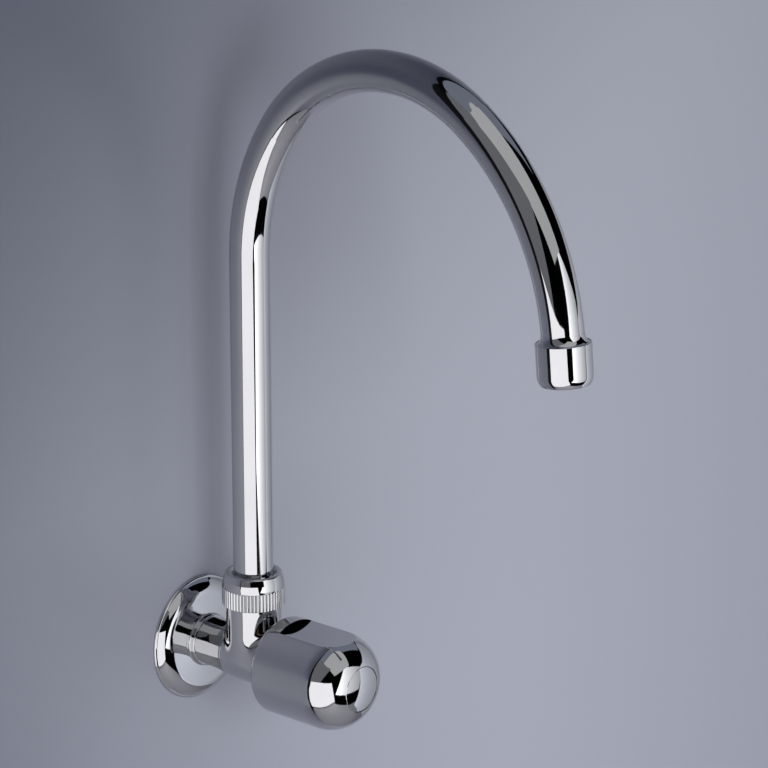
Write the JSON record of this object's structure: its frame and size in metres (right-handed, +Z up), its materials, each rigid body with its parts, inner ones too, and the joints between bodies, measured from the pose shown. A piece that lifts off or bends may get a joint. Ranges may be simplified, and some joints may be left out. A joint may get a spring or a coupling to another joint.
{
  "type": "commercial wall faucet",
  "caption": "Wall-mounted single cold tap with a round flange, cast body, domed knob with two flats, knurled nut and a tall swivelling swan-neck spout with aerator.",
  "frame": {"origin": "centre of the inlet on the face of the wall", "axes": "+Z up; +Y into the wall along the inlet, so the tap stands out along -Y; +X to the right seen from the front"},
  "size_m": [0.0614, 0.2511, 0.3333],
  "materials": {
    "chrome": "polished chrome plate on brass",
    "brass": "machined, unplated",
    "steel": "bright stainless",
    "steel_mesh": "woven stainless wire",
    "rubber": "moulded nitrile",
    "fibre": "pressed fibre",
    "bearing_plastic": "natural acetal",
    "insert_plastic": "moulded grey-white plastic"
  },
  "bodies": {
    "tap_body": {"valve_body": "chrome", "wall_flange": "chrome", "spout_nut": "chrome", "spout_bearing_ring": "bearing_plastic", "bonnet": "brass", "bonnet_gasket": "fibre"},
    "spout": {"spout_pipe": "chrome", "spout_bush": "brass", "spout_seal_lower": "rubber", "spout_seal_upper": "rubber", "spout_outlet": "chrome", "aerator_housing": "chrome", "aerator_washer": "rubber", "aerator_insert": "insert_plastic", "aerator_screen": "steel_mesh"},
    "handle": {"knob": "chrome", "index_cap": "chrome", "handle_screw": "steel", "spindle": "brass", "spindle_seal_inner": "rubber", "spindle_seal_outer": "rubber", "thrust_washer": "bearing_plastic", "spindle_clip": "steel"},
    "valve": {"valve_piston": "brass", "seat_washer": "rubber", "seat_washer_nut": "brass"}
  },
  "joints": [
    {"name": "spout_swivel", "type": "hinge", "parent": "tap_body", "child": "spout", "pos_m": [0, -0.03759, 0.03], "axis": [0, 0, 1], "range_deg": [-90, 90]},
    {"name": "handle_turn", "type": "hinge", "parent": "tap_body", "child": "handle", "pos_m": [0, -0.055, 0], "axis": [0, -1, 0], "range_deg": [0, 900]},
    {"name": "valve_lift", "type": "slide", "parent": "tap_body", "child": "valve", "axis": [0, -1, 0], "range_m": [0, 0.005]}
  ],
  "couplings": [
    {"joint": "valve_lift", "follows": "handle_turn", "m_per_rad": 0.000318}
  ]
}
